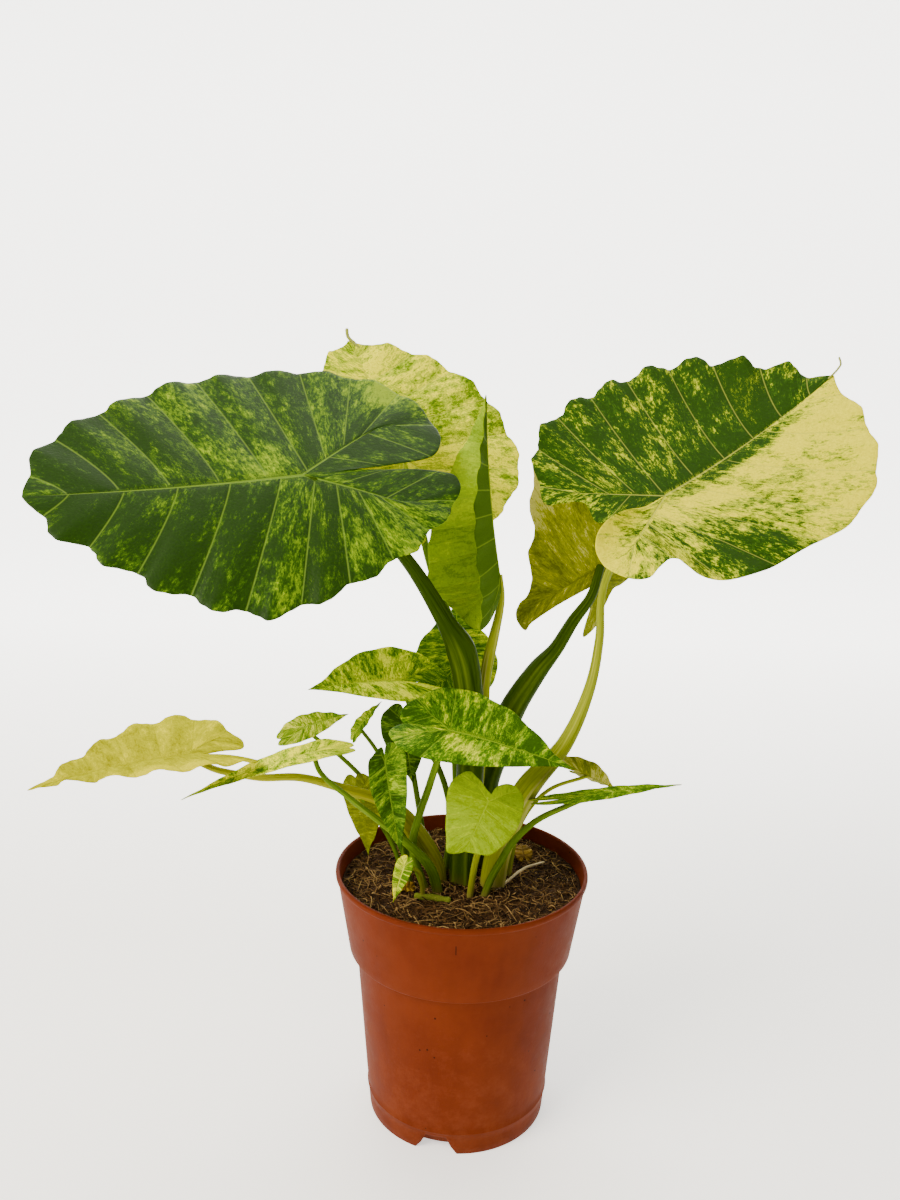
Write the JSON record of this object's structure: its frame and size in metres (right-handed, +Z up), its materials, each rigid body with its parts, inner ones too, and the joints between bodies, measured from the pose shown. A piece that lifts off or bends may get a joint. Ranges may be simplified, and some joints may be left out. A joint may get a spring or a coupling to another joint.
{
  "type": "potted variegated alocasia plant",
  "caption": "House plant with broad shield-shaped, cream-marbled leaves on upright stalks, standing in soil in a tapered terracotta-coloured plastic nursery pot.",
  "frame": {"origin": "on the pot's axis, at the level that the foot ring stands on", "axes": "+Z up along the pot's axis, +Y away from the viewer of the plant's best side, +X to that viewer's right"},
  "size_m": [0.6327, 0.2827, 0.6454],
  "materials": {
    "pot": "satin moulded plastic",
    "soil": "crumbly fibre and peat",
    "dark_leaf": "waxy, marbled with lime",
    "mixed_leaf": "waxy, flecked with lime and cream",
    "cream_leaf": "waxy, cream with green streaks",
    "lime_leaf": "waxy, plain",
    "yellow_leaf": "waxy, plain",
    "olive_leaf": "dull underside",
    "stalk": "smooth, striped along its length",
    "root": "matte",
    "dry_leaf": "dry, wrinkled"
  },
  "bodies": {
    "root": {"pot": "pot", "soil": "soil", "left_leaf_blade": "dark_leaf", "left_leaf_petiole": "stalk", "right_leaf_blade": "cream_leaf", "right_leaf_petiole": "stalk", "back_leaf_blade": "cream_leaf", "back_leaf_petiole": "stalk", "rear_leaf_blade": "olive_leaf", "rear_leaf_petiole": "stalk", "rolled_leaf_blade": "lime_leaf", "rolled_leaf_petiole": "stalk", "middle_leaf_blade": "mixed_leaf", "middle_leaf_petiole": "stalk", "inner_leaf_blade": "mixed_leaf", "inner_leaf_petiole": "stalk", "front_leaf_blade": "mixed_leaf", "front_leaf_petiole": "stalk", "hanging_leaf_blade": "dark_leaf", "hanging_leaf_petiole": "stalk", "lime_leaf_blade": "lime_leaf", "lime_leaf_petiole": "stalk", "yellow_leaf_blade": "yellow_leaf", "yellow_leaf_petiole": "stalk", "narrow_leaf_blade": "cream_leaf", "narrow_leaf_petiole": "stalk", "little_leaf_blade": "mixed_leaf", "little_leaf_petiole": "stalk", "tiny_leaf_blade": "mixed_leaf", "tiny_leaf_petiole": "stalk", "olive_leaf_blade": "olive_leaf", "olive_leaf_petiole": "stalk", "soil_leaf_blade": "cream_leaf", "soil_leaf_petiole": "stalk", "low_leaf_blade": "mixed_leaf", "low_leaf_petiole": "stalk", "pale_leaf_blade": "olive_leaf", "pale_leaf_petiole": "stalk", "drooping_leaf_blade": "dark_leaf", "drooping_leaf_petiole": "stalk", "root": "root", "cut_stalk": "root", "dry_leaf_left": "dry_leaf", "dry_leaf_right": "dry_leaf"}
  },
  "joints": []
}
